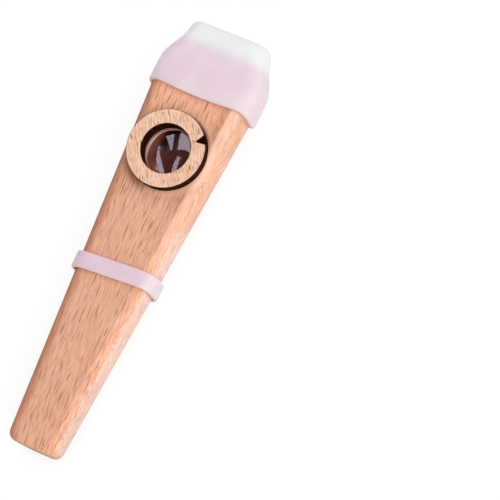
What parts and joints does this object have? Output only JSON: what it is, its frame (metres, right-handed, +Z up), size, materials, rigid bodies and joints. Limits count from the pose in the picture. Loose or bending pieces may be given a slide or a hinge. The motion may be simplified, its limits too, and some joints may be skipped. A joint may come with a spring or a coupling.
{
  "type": "kazoo",
  "caption": "Flat tapered wooden kazoo with a slip-on silicone mouthpiece, a lift-out wooden ring over its membrane, and a silicone grip band.",
  "frame": {"origin": "under the middle of the whole kazoo's box, at the level it rests on when it lies on its back", "axes": "+X along the body towards the mouthpiece, +Z up out of the front that carries the membrane ring, +Y across the body"},
  "size_m": [0.127, 0.0318, 0.0182],
  "materials": {
    "beech_body": "sanded and lightly oiled beech",
    "ring_wood": "pale beech, laser-cut with browned edges",
    "spigot_wood": "laser-browned edge",
    "carrier_plastic": "milky satin",
    "membrane_film": "thin clear film",
    "mouthpiece_silicone": "milky translucent satin",
    "band_silicone": "milky translucent satin"
  },
  "bodies": {
    "body": {"wooden_body": "beech_body"},
    "ring": {"ring_flange": "ring_wood", "ring_spigot": "spigot_wood"},
    "membrane": {"membrane_carrier": "carrier_plastic", "membrane_film": "membrane_film"},
    "mouthpiece": {"mouthpiece": "mouthpiece_silicone"},
    "band": {"band": "band_silicone"}
  },
  "joints": [
    {"name": "ring_lift", "type": "slide", "parent": "body", "child": "ring", "axis": [-0.0332, 0, 0.9995], "range_m": [0, 0.012]},
    {"name": "membrane_lift", "type": "slide", "parent": "body", "child": "membrane", "axis": [-0.0332, 0, 0.9995], "range_m": [0, 0.006]},
    {"name": "mouthpiece_pull", "type": "slide", "parent": "body", "child": "mouthpiece", "axis": [1, 0, 0], "range_m": [0, 0.016]},
    {"name": "band_slide", "type": "slide", "parent": "body", "child": "band", "axis": [-1, 0, 0], "range_m": [0, 0.06]}
  ],
  "couplings": [
    {"joint": "membrane_lift", "follows": "ring_lift", "ratio": 0.5}
  ]
}
